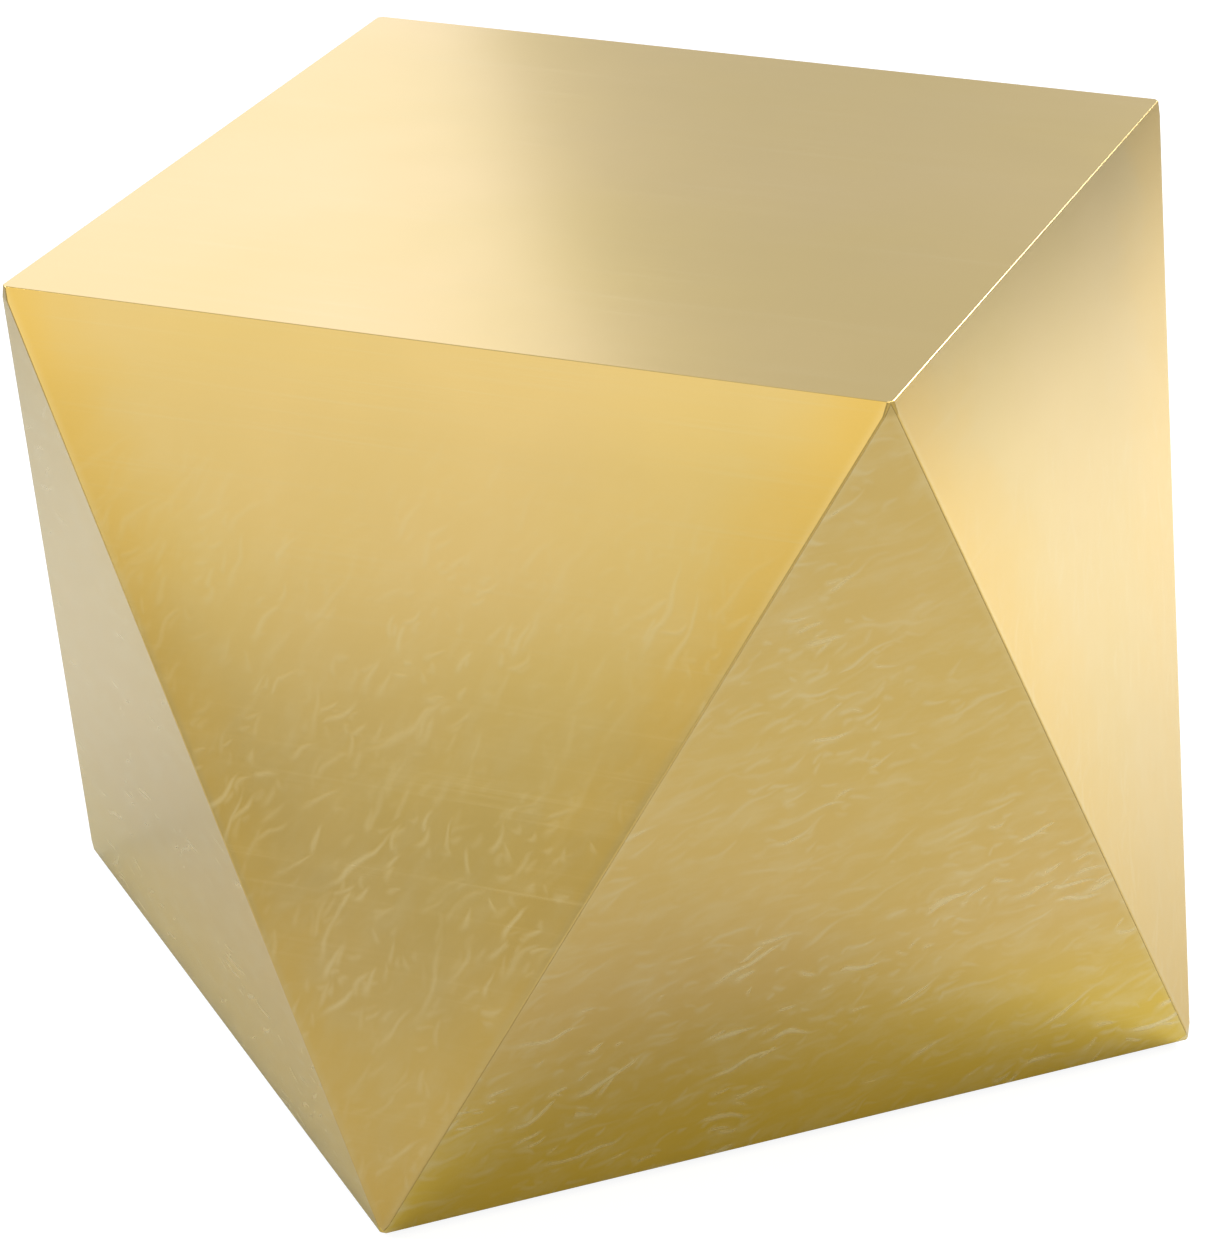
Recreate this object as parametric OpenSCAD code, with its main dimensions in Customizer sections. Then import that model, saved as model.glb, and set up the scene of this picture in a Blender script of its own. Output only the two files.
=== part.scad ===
// Faceted side table: a hollow square antiprism of gold-toned sheet steel.
// Its top square is turned 45 degrees from its base square, and eight triangular panels join them:
// four hang from the edges of the top, and four stand on the edges of the base.
// Inside are a plywood deck, folded rails and seam angles, and four screw-in levelling feet.
// Origin: on the floor under the centre of the table. +Z is up; the top's edges lie along X and Y.

/* [Body] */
// Length of each edge of the top and base squares, between their sharp corners
side = 450; // [440:5:480]
// Height of the shell, without the feet
shell_h = 430; // [400:5:460]
// Gap between the floor and the shell with the feet screwed right in
floor_gap = 5; // [4.5:0.5:8]
// How far each corner of the shell is ground back from its sharp point
corner_cut = 1.6; // [0.8:0.2:1.6]

/* [Sheet metal] */
// Thickness of the top panel and of the eight side panels
skin_t = 1.5; // [1.4:0.1:2]
// Width of the hairline seam between two side panels
seam_gap = 0.2; // [0.1:0.05:0.3]
// Thickness of the seam angles behind the side seams
angle_t = 1.5; // [1:0.1:2]
// Width of each leg of a seam angle
angle_leg = 18; // [12:1:20]
// How far each end of a seam angle stops short of the sharp corner
angle_setback = 50; // [45:1:70]
// Thickness of the rails under the top and above the base
rail_t = 2; // [1.5:0.1:2.5]
// Width of a rail's level leg
rail_leg = 30; // [26:1:34]
// Height of a rail's leaning leg
rail_drop = 25; // [20:1:27]
// Length of each rail
rail_l = 350; // [320:5:350]
// Thickness of the base plate
plate_t = 1.5; // [1:0.1:2]

/* [Deck] */
// Thickness of the plywood deck under the top panel
deck_t = 12; // [10:1:15]
// Room between the deck's edges and the side panels
deck_room = 3; // [2:0.5:5]

/* [Fasteners] */
// Distance of each rail screw from the middle of its rail
screw_offset = 75; // [60:5:75]
// Distance of the rail screws from the rail's own edge of the square
screw_inset = 18; // [16:1:20]

/* [Feet] */
// Distance of each foot from the sharp corner of the base above it
foot_setback = 78; // [72:1:84]
// Diameter of the nylon pad
pad_d = 34; // [28:1:40]
// Thickness of the nylon pad
pad_h = 4.5; // [4.5:0.5:4.5]
// Length of the foot's threaded stud above its head
stud_l = 36; // [30:1:42]
// Thickness of the corner brackets that carry the feet
bracket_t = 4; // [3:0.5:5]

/* [Hidden] */

// Where things are called from: the hanging panels and the feet sit at these angles,
// and the standing panels sit at the angles between them.
square_names = ["right", "back", "left", "front"];
between_names = ["back_right", "back_left", "front_left", "front_right"];

// Overall shape
corner_r = side / sqrt(2);
lean = atan((corner_r - side / 2) / shell_h);
base_z = floor_gap;
top_z = floor_gap + shell_h;
reach = 2 * side;

// Levels of the stack under the top and above the base
deck_top_z = top_z - skin_t;
deck_base_z = deck_top_z - deck_t;
plate_top_z = base_z + plate_t;
rail_top_z = plate_top_z + rail_t;
bracket_top_z = rail_top_z + bracket_t;

// Metric hardware
screw_r = 2.5;
screw_room = 0.25;
screw_head_r = 4.75;
screw_head_h = 2;
screw_l = 9;
clinch_r = 4.75;
clinch_shank_r = 3.2;
clinch_h = 4;
wood_screw_r = 1.9;
wood_screw_head_r = 4;
wood_screw_head_h = 2.4;
wood_screw_l = 10.5;
stud_r = 4;
stud_room = 0.05;
stud_hole_r = 5;
stud_head_across = 13;
stud_head_h = 3;
stud_chamfer = 1;
pad_floor_h = 1.5;
pad_chamfer = 1;
foot_nut_across = 13;
foot_nut_h = 6.5;
plate_hole_r = 6;
plate_room = 0.4;
plate_corner_cut = 4;
bracket_margin = 6;
bracket_tip = 30;
bracket_end = 108;
round_fn = 48;
large_fn = 240;

// Colours
gold = "#d2b46c";
steel = "#9a9da0";
zinc = "#b9bcc0";
coated = "#2b2b2d";
plywood = "#c9a878";
nylon = "#1d1d1f";

// A face is an outward unit normal and its distance from the origin
function direction(angle, tilt) = [cos(tilt) * cos(angle), cos(tilt) * sin(angle), sin(tilt)];
function hanging_face(angle) = [direction(angle, lean), side / 2 * cos(lean) + top_z * sin(lean)];
function standing_face(angle) = [direction(angle, -lean), side / 2 * cos(lean) - base_z * sin(lean)];
top_face = [[0, 0, 1], top_z];
base_face = [[0, 0, -1], -base_z];

// The plane through the edge that faces a and b share, halfway between them and gap short of it,
// facing away from a
function mitre(a, b, gap = 0) =
    let (across = a[0] - b[0], size = norm(across))
    [-across / size, (b[1] - a[1]) / size - gap];

// Everything behind a face
module behind(face) {
    normal = face[0];
    rotate([0, acos(normal.z), atan2(normal.y, normal.x)])
        translate([-reach, -reach, face[1] - 2 * reach])
            cube(2 * reach);
}

// The layer that starts `near` behind a face and ends `far` behind it
module layer(face, near, far) {
    normal = face[0];
    rotate([0, acos(normal.z), atan2(normal.y, normal.x)])
        translate([-reach, -reach, face[1] - far])
            cube([2 * reach, 2 * reach, far - near]);
}

// The upright cylinder that grinds the sharp corners back
module ground_to(cut) {
    translate([0, 0, base_z - 1])
        cylinder(r = corner_r - cut, h = shell_h + 2, $fn = large_fn);
}

// One flat sheet of the skin. It is mitred to the panels that it is welded to, and it stops
// half a seam short of the others.
module panel(face, welded, seamed) {
    mitres = concat(
        [for (next = welded) mitre(face, next)],
        [for (next = seamed) mitre(face, next, seam_gap / 2)]
    );
    color(gold)
        intersection() {
            layer(face, 0, skin_t);
            intersection_for (cut = mitres) {
                behind(cut);
            }
            ground_to(corner_cut);
        }
}

module top_panel() {
    panel(top_face, welded = [for (k = [0:3]) hanging_face(90 * k)], seamed = []);
}

// A triangle that hangs point down from one edge of the top
module hanging_panel(angle) {
    panel(
        hanging_face(angle),
        welded = [top_face],
        seamed = [standing_face(angle - 45), standing_face(angle + 45)]
    );
}

// A triangle that stands point up on one edge of the base. Its foot is cut level at the base.
module standing_panel(angle) {
    intersection() {
        panel(
            standing_face(angle),
            welded = [],
            seamed = [hanging_face(angle - 45), hanging_face(angle + 45)]
        );
        behind(base_face);
    }
}

// Section of a seam angle: a shallow V that lies against the inside of both panels.
// The origin is on the sharp outer edge, with +Y pointing out of the shell.
module seam_angle_section() {
    hanging = hanging_face(0)[0];
    standing = standing_face(45)[0];
    half_turn = acos(hanging * standing) / 2;
    along = [cos(half_turn), -sin(half_turn)];
    inward = [-sin(half_turn), -cos(half_turn)];
    outer_apex = [0, -skin_t / cos(half_turn)];
    inner_apex = [0, -(skin_t + angle_t) / cos(half_turn)];
    outer_tip = outer_apex + angle_leg * along;
    inner_tip = outer_tip + angle_t * inward;
    polygon([
        outer_apex, outer_tip, inner_tip,
        inner_apex, [-inner_tip.x, inner_tip.y], [-outer_tip.x, outer_tip.y]
    ]);
}

// Seam angle number k stands behind the side edge at 22.5 + 45 k degrees
module seam_angle(k) {
    hanging_angle = 90 * floor((k + 1) / 2);
    standing_angle = 45 + 90 * floor(k / 2);
    top_corner = [corner_r * cos(standing_angle), corner_r * sin(standing_angle), top_z];
    base_corner = [corner_r * cos(hanging_angle), corner_r * sin(hanging_angle), base_z];
    edge = top_corner - base_corner;
    edge_l = norm(edge);
    up = edge / edge_l;
    outward_sum = hanging_face(hanging_angle)[0] + standing_face(standing_angle)[0];
    outward = outward_sum / norm(outward_sum);
    across = cross(outward, up);
    start = base_corner + angle_setback * up;
    color(steel)
        multmatrix([
            [across.x, outward.x, up.x, start.x],
            [across.y, outward.y, up.y, start.y],
            [across.z, outward.z, up.z, start.z],
            [0, 0, 0, 1]
        ])
            linear_extrude(edge_l - 2 * angle_setback)
                seam_angle_section();
}

// Section of a rail, for the level z of its flat leg and the way that its other leg runs:
// -1 down a hanging panel, or 1 up a standing panel. X is the distance from the table's axis.
function skin_inside(rise) = side / 2 + rise * tan(lean) - skin_t / cos(lean);
module rail_section(flat_z, way, rise) {
    thickness = rail_t / cos(lean);
    polygon([
        [skin_inside(rise), flat_z],
        [skin_inside(rise + rail_drop), flat_z + way * rail_drop],
        [skin_inside(rise + rail_drop) - thickness, flat_z + way * rail_drop],
        [skin_inside(rise + rail_t) - thickness, flat_z + way * rail_t],
        [side / 2 - rail_leg, flat_z + way * rail_t],
        [side / 2 - rail_leg, flat_z]
    ]);
}

module rail(angle, flat_z, way, rise) {
    rotate([0, 0, angle])
        rotate([90, 0, 0])
            translate([0, 0, -rail_l / 2])
                linear_extrude(rail_l)
                    rail_section(flat_z, way, rise);
}

// Places its children at the two screws of the rail that faces this angle
module at_rail_screws(angle) {
    for (offset = [-screw_offset, screw_offset]) {
        rotate([0, 0, angle])
            translate([side / 2 - screw_inset, offset, 0])
                children();
    }
}

module top_rail(angle) {
    color(steel)
        difference() {
            rail(angle, deck_base_z, -1, top_z - deck_base_z);
            at_rail_screws(angle)
                translate([0, 0, deck_base_z - rail_t - 1])
                    cylinder(r = wood_screw_r + screw_room, h = rail_t + 2, $fn = round_fn);
        }
}

module base_rail(angle) {
    color(steel)
        difference() {
            rail(angle, plate_top_z, 1, plate_top_z - base_z);
            at_rail_screws(angle)
                translate([0, 0, plate_top_z - 1])
                    cylinder(r = clinch_shank_r, h = rail_t + 2, $fn = round_fn);
        }
}

// The plywood board that backs the top panel, with pilot holes for its screws
module top_deck() {
    deck_w = side - 2 * deck_room;
    color(plywood)
        difference() {
            intersection() {
                translate([-deck_w / 2, -deck_w / 2, deck_base_z])
                    cube([deck_w, deck_w, deck_t]);
                ground_to(corner_cut + 2 * deck_room);
            }
            for (k = [0:3]) {
                at_rail_screws(90 * k)
                    translate([0, 0, deck_base_z - 1])
                        cylinder(r = wood_screw_r, h = wood_screw_l, $fn = round_fn);
            }
        }
}

// Pan-headed wood screw, with the underside of its head at the origin and its shank pointing up
module wood_screw() {
    rotate_extrude($fn = round_fn)
        polygon([
            [0, -wood_screw_head_h],
            [wood_screw_head_r * 0.7, -wood_screw_head_h],
            [wood_screw_head_r, -wood_screw_head_h * 0.4],
            [wood_screw_head_r, 0],
            [wood_screw_r, 0],
            [wood_screw_r, wood_screw_l - wood_screw_r],
            [0, wood_screw_l]
        ]);
}

module deck_screws() {
    color(zinc)
        for (k = [0:3]) {
            at_rail_screws(90 * k)
                translate([0, 0, deck_base_z - rail_t])
                    wood_screw();
        }
}

// Places its children at the foot under this corner of the base
module at_foot(angle) {
    rotate([0, 0, angle])
        translate([corner_r - foot_setback, 0, 0])
            children();
}

// The plate that closes the underside, between the feet of the standing panels
module base_plate() {
    plate_w = side - 2 * (skin_t / cos(lean) + plate_room);
    color(coated)
        difference() {
            intersection() {
                rotate([0, 0, 45])
                    translate([-plate_w / 2, -plate_w / 2, base_z])
                        cube([plate_w, plate_w, plate_t]);
                ground_to(plate_corner_cut);
            }
            for (k = [0:3]) {
                at_rail_screws(45 + 90 * k)
                    translate([0, 0, base_z - 1])
                        cylinder(r = screw_r + screw_room, h = plate_t + 2, $fn = round_fn);
                at_foot(90 * k)
                    translate([0, 0, base_z - 1])
                        cylinder(r = plate_hole_r, h = plate_t + 2, $fn = round_fn);
            }
        }
}

// Low-headed machine screw with a hexagon socket, head down, with the head's upper side at the origin
module machine_screw() {
    socket_across = 3;
    socket_depth = 1.3;
    difference() {
        rotate_extrude($fn = round_fn)
            polygon([
                [0, -screw_head_h],
                [screw_head_r * 0.65, -screw_head_h],
                [screw_head_r, -screw_head_h * 0.35],
                [screw_head_r, 0],
                [screw_r, 0],
                [screw_r, screw_l - 0.5],
                [screw_r - 0.5, screw_l],
                [0, screw_l]
            ]);
        translate([0, 0, -screw_head_h - 1])
            cylinder(r = socket_across / sqrt(3), h = socket_depth + 1, $fn = 6);
    }
}

module base_screws() {
    color(zinc)
        for (k = [0:3]) {
            at_rail_screws(45 + 90 * k)
                translate([0, 0, base_z])
                    machine_screw();
        }
}

// Clinch nut pressed into a base rail: a shank in the rail's hole and a wider body above it
module clinch_nuts() {
    color(zinc)
        for (k = [0:3]) {
            at_rail_screws(45 + 90 * k)
                translate([0, 0, plate_top_z])
                    rotate_extrude($fn = round_fn)
                        polygon([
                            [screw_r + stud_room, 0],
                            [clinch_shank_r, 0],
                            [clinch_shank_r, rail_t],
                            [clinch_r, rail_t],
                            [clinch_r, rail_t + clinch_h],
                            [screw_r + stud_room, rail_t + clinch_h]
                        ]);
        }
}

// Plate welded across a base corner on top of its two rails. Its nose points at the corner.
module corner_bracket(angle) {
    tip = bracket_tip - bracket_margin * sqrt(2);
    wing = bracket_end - bracket_margin * sqrt(2);
    color(steel)
        difference() {
            rotate([0, 0, angle])
                translate([corner_r, 0, rail_top_z])
                    linear_extrude(bracket_t)
                        polygon([
                            [-bracket_tip, -tip],
                            [-bracket_tip, tip],
                            [-bracket_end, wing],
                            [-bracket_end, -wing]
                        ]);
            at_foot(angle)
                translate([0, 0, rail_top_z - 1])
                    cylinder(r = stud_hole_r, h = bracket_t + 2, $fn = round_fn);
        }
}

// Hexagon nuts welded on the brackets, which the feet screw into
module foot_nuts() {
    color(zinc)
        for (k = [0:3]) {
            at_foot(90 * k)
                translate([0, 0, bracket_top_z])
                    difference() {
                        cylinder(r = foot_nut_across / sqrt(3), h = foot_nut_h, $fn = 6);
                        translate([0, 0, -1])
                            cylinder(r = stud_r + stud_room, h = foot_nut_h + 2, $fn = round_fn);
                    }
        }
}

// Steel stud of a levelling foot, with its hexagon head moulded into the pad
module foot_stud(angle) {
    color(zinc)
        at_foot(angle) {
            translate([0, 0, pad_floor_h])
                cylinder(r = stud_head_across / sqrt(3), h = stud_head_h, $fn = 6);
            translate([0, 0, pad_floor_h + stud_head_h])
                rotate_extrude($fn = round_fn)
                    polygon([
                        [0, 0],
                        [stud_r, 0],
                        [stud_r, stud_l - stud_chamfer],
                        [stud_r - stud_chamfer, stud_l],
                        [0, stud_l]
                    ]);
        }
}

// Nylon pad of a levelling foot, with a pocket for the stud's head
module foot_pad(angle) {
    color(nylon)
        at_foot(angle) {
            difference() {
                rotate_extrude($fn = round_fn)
                    polygon([
                        [0, 0],
                        [pad_d / 2 - pad_chamfer, 0],
                        [pad_d / 2, pad_chamfer],
                        [pad_d / 2, pad_h - pad_chamfer],
                        [pad_d / 2 - pad_chamfer, pad_h],
                        [0, pad_h]
                    ]);
                translate([0, 0, pad_floor_h])
                    cylinder(r = stud_head_across / sqrt(3), h = stud_head_h + 1, $fn = 6);
            }
        }
}

top_panel();
for (k = [0:3]) {
    hanging_panel(90 * k);
    standing_panel(45 + 90 * k);
    top_rail(90 * k);
    base_rail(45 + 90 * k);
    corner_bracket(90 * k);
    foot_stud(90 * k);
    foot_pad(90 * k);
}
for (k = [0:7]) {
    seam_angle(k);
}
top_deck();
deck_screws();
base_plate();
base_screws();
clinch_nuts();
foot_nuts();
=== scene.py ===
"""Looks of a faceted side table in satin, gold-toned sheet steel.

The body is a square antiprism: a square top, an equal square base turned an eighth of a turn, and
eight triangular sheets between them. Everything is in metres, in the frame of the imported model.
"""

import logging
import math
from dataclasses import dataclass, field
from enum import Enum

import bmesh
import bpy
from mathutils import Matrix, Vector

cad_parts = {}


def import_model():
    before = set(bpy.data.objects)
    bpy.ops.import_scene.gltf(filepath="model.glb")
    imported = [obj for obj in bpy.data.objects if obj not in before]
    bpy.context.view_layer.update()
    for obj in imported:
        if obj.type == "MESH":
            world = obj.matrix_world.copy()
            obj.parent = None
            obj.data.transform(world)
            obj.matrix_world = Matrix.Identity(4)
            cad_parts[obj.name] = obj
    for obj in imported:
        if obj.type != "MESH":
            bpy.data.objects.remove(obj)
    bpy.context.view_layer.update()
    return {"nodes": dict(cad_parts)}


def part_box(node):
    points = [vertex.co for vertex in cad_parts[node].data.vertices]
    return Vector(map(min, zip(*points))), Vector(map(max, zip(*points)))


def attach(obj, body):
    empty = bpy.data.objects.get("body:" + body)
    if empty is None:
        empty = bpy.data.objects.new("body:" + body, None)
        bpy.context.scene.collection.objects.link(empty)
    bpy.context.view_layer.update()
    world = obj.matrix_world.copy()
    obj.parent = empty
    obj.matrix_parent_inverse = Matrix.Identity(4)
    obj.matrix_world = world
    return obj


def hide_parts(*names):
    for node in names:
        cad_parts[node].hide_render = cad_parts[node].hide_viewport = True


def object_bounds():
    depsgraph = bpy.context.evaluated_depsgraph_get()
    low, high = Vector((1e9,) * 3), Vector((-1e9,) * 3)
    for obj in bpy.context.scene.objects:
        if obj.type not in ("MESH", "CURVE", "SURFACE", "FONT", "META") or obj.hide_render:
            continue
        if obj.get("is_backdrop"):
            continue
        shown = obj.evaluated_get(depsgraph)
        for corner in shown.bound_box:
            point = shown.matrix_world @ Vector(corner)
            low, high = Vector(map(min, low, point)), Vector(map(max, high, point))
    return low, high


LOG = logging.getLogger("side_table")
MM = 0.001
SHORT_EDGE = 20 * MM
ONE_POINT = 1e-7
NEAR_POINT = 1e-6
GRAIN_MAP = "grain"
SQUARE_NAMES = ("right", "back", "left", "front")
BETWEEN_NAMES = ("back_right", "back_left", "front_left", "front_right")


class Body(Enum):
    """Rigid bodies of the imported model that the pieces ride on."""

    TABLE = "table"
    FOOT = "foot_"


class Mark(Enum):
    """Names of the mesh attributes that the gold finish reads."""

    FROM_LEFT = "from_left"
    FROM_RIGHT = "from_right"
    FROM_LEVEL = "from_level"
    # Strength of the pale strokes painted as a reflection of floor veins.
    BUFFING = "buffing"
    STROKE_ANGLE = "stroke_angle"
    FADE = "fade"
    CROWN = "crown"


class Panel(Enum):
    """Kinds of sheet in the skin."""

    TOP = "top"
    HANGING = "hanging"
    STANDING = "standing"


# ---------------------------------------------------------------------------
# Shader helpers
# ---------------------------------------------------------------------------


class Graph:
    """A thin wrapper that adds nodes to a node tree and links their sockets."""

    def __init__(self, tree: bpy.types.NodeTree) -> None:
        """Wraps a tree.

        Args:
            tree: The node tree to add to.
        """
        self.tree = tree

    def node(self, kind: str, **settings: object) -> bpy.types.Node:
        """Adds a node and sets its properties.

        Args:
            kind: The node's type name without the "ShaderNode" prefix.
            **settings: Property names and values.

        Returns:
            The new node.
        """
        new = self.tree.nodes.new(kind if kind.startswith("Node") else "ShaderNode" + kind)
        for name, value in settings.items():
            setattr(new, name, value)
        return new

    def plug(self, value: object, socket: bpy.types.NodeSocket) -> None:
        """Links an output to a socket, or sets the socket's own value.

        Args:
            value: An output socket, a number, a vector, or a colour with or without its alpha.
            socket: The input socket.
        """
        if isinstance(value, bpy.types.NodeSocket):
            self.tree.links.new(value, socket)
        elif socket.type == "RGBA" and len(value) == 3:
            socket.default_value = (*value, 1.0)
        else:
            socket.default_value = value

    def math(self, operation: str, *values: object, clamp: bool = False) -> bpy.types.NodeSocket:
        """Adds a Math node.

        Args:
            operation: The operation's name.
            *values: Its inputs.
            clamp: Whether the result is held between 0 and 1.

        Returns:
            The result's socket.
        """
        new = self.node("Math", operation=operation, use_clamp=clamp)
        for value, socket in zip(values, new.inputs):
            self.plug(value, socket)
        return new.outputs[0]

    def times(self, a: object, b: object, clamp: bool = False) -> bpy.types.NodeSocket:
        """Gives the product of two numbers, held between 0 and 1 if clamp is set."""
        return self.math("MULTIPLY", a, b, clamp=clamp)

    def plus(self, a: object, b: object) -> bpy.types.NodeSocket:
        """Gives the sum of two numbers."""
        return self.math("ADD", a, b)

    def inverse(self, value: object) -> bpy.types.NodeSocket:
        """Gives 1 less a number."""
        return self.math("SUBTRACT", 1.0, value)

    def split(self, vector: object) -> bpy.types.Node:
        """Adds a node that parts a vector into its three axes.

        Args:
            vector: The vector's socket.

        Returns:
            The Separate XYZ node.
        """
        new = self.node("SeparateXYZ")
        self.plug(vector, new.inputs["Vector"])
        return new

    def turned(self, vector: object, angle: object) -> bpy.types.NodeSocket:
        """Turns a vector around the Z axis.

        Args:
            vector: The vector's socket.
            angle: The angle, in radians.

        Returns:
            The result's socket.
        """
        new = self.node("VectorRotate", rotation_type="AXIS_ANGLE")
        new.inputs["Axis"].default_value = (0.0, 0.0, 1.0)
        self.plug(vector, new.inputs["Vector"])
        self.plug(angle, new.inputs["Angle"])
        return new.outputs["Vector"]

    def ramp(self, value: object, low: object, high: object) -> bpy.types.NodeSocket:
        """Maps a value smoothly from 0 at low to 1 at high.

        Args:
            value: The value's socket.
            low: Where the result leaves 0.
            high: Where the result reaches 1.

        Returns:
            The result's socket.
        """
        new = self.node("MapRange", interpolation_type="SMOOTHSTEP")
        self.plug(value, new.inputs["Value"])
        self.plug(low, new.inputs["From Min"])
        self.plug(high, new.inputs["From Max"])
        return new.outputs["Result"]

    def mix(self, factor: object, low: object, high: object) -> bpy.types.NodeSocket:
        """Blends two numbers.

        Args:
            factor: 0 for low, 1 for high.
            low: The first number.
            high: The second number.

        Returns:
            The result's socket.
        """
        new = self.node("Mix", data_type="FLOAT")
        for value, name in ((factor, "Factor"), (low, "A"), (high, "B")):
            self.plug(value, new.inputs[name])
        return new.outputs["Result"]

    def tint(self, factor: object, low: object, high: object) -> bpy.types.NodeSocket:
        """Blends two colours.

        Args:
            factor: 0 for low, 1 for high.
            low: The first colour.
            high: The second colour.

        Returns:
            The result's socket.
        """
        new = self.node("Mix", data_type="RGBA")
        colours = [s for s in new.inputs if s.type == "RGBA"]
        self.plug(factor, new.inputs["Factor"])
        self.plug(low, colours[0])
        self.plug(high, colours[1])
        return next(s for s in new.outputs if s.type == "RGBA")

    def scaled(self, vector: object, scale: tuple[float, float, float]) -> bpy.types.NodeSocket:
        """Multiplies a vector by a scale along each axis.

        Args:
            vector: The vector's socket.
            scale: The three factors.

        Returns:
            The result's socket.
        """
        new = self.node("VectorMath", operation="MULTIPLY")
        self.plug(vector, new.inputs[0])
        self.plug(scale, new.inputs[1])
        return new.outputs[0]

    def noise(
        self,
        vector: object,
        scale: float,
        detail: float = 2.0,
        roughness: float = 0.5,
        distortion: float = 0.0,
    ) -> bpy.types.NodeSocket:
        """Adds a Noise texture.

        Args:
            vector: Its coordinates.
            scale: Cells per metre.
            detail: Number of octaves.
            roughness: How strong the fine octaves are.
            distortion: How far the pattern is warped.

        Returns:
            The socket of its value, which is about 0.5 on average.
        """
        new = self.node("TexNoise")
        self.plug(vector, new.inputs["Vector"])
        self.plug(scale, new.inputs["Scale"])
        self.plug(detail, new.inputs["Detail"])
        self.plug(roughness, new.inputs["Roughness"])
        self.plug(distortion, new.inputs["Distortion"])
        return new.outputs["Fac"]

    def group(self, tree: bpy.types.NodeTree, **values: object) -> bpy.types.Node:
        """Places a node group.

        Args:
            tree: The group.
            **values: Its inputs, named with underscores for spaces.

        Returns:
            The group's node.
        """
        new = self.node("Group")
        new.node_tree = tree
        for name, value in values.items():
            self.plug(value, new.inputs[name.replace("_", " ")])
        return new


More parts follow.
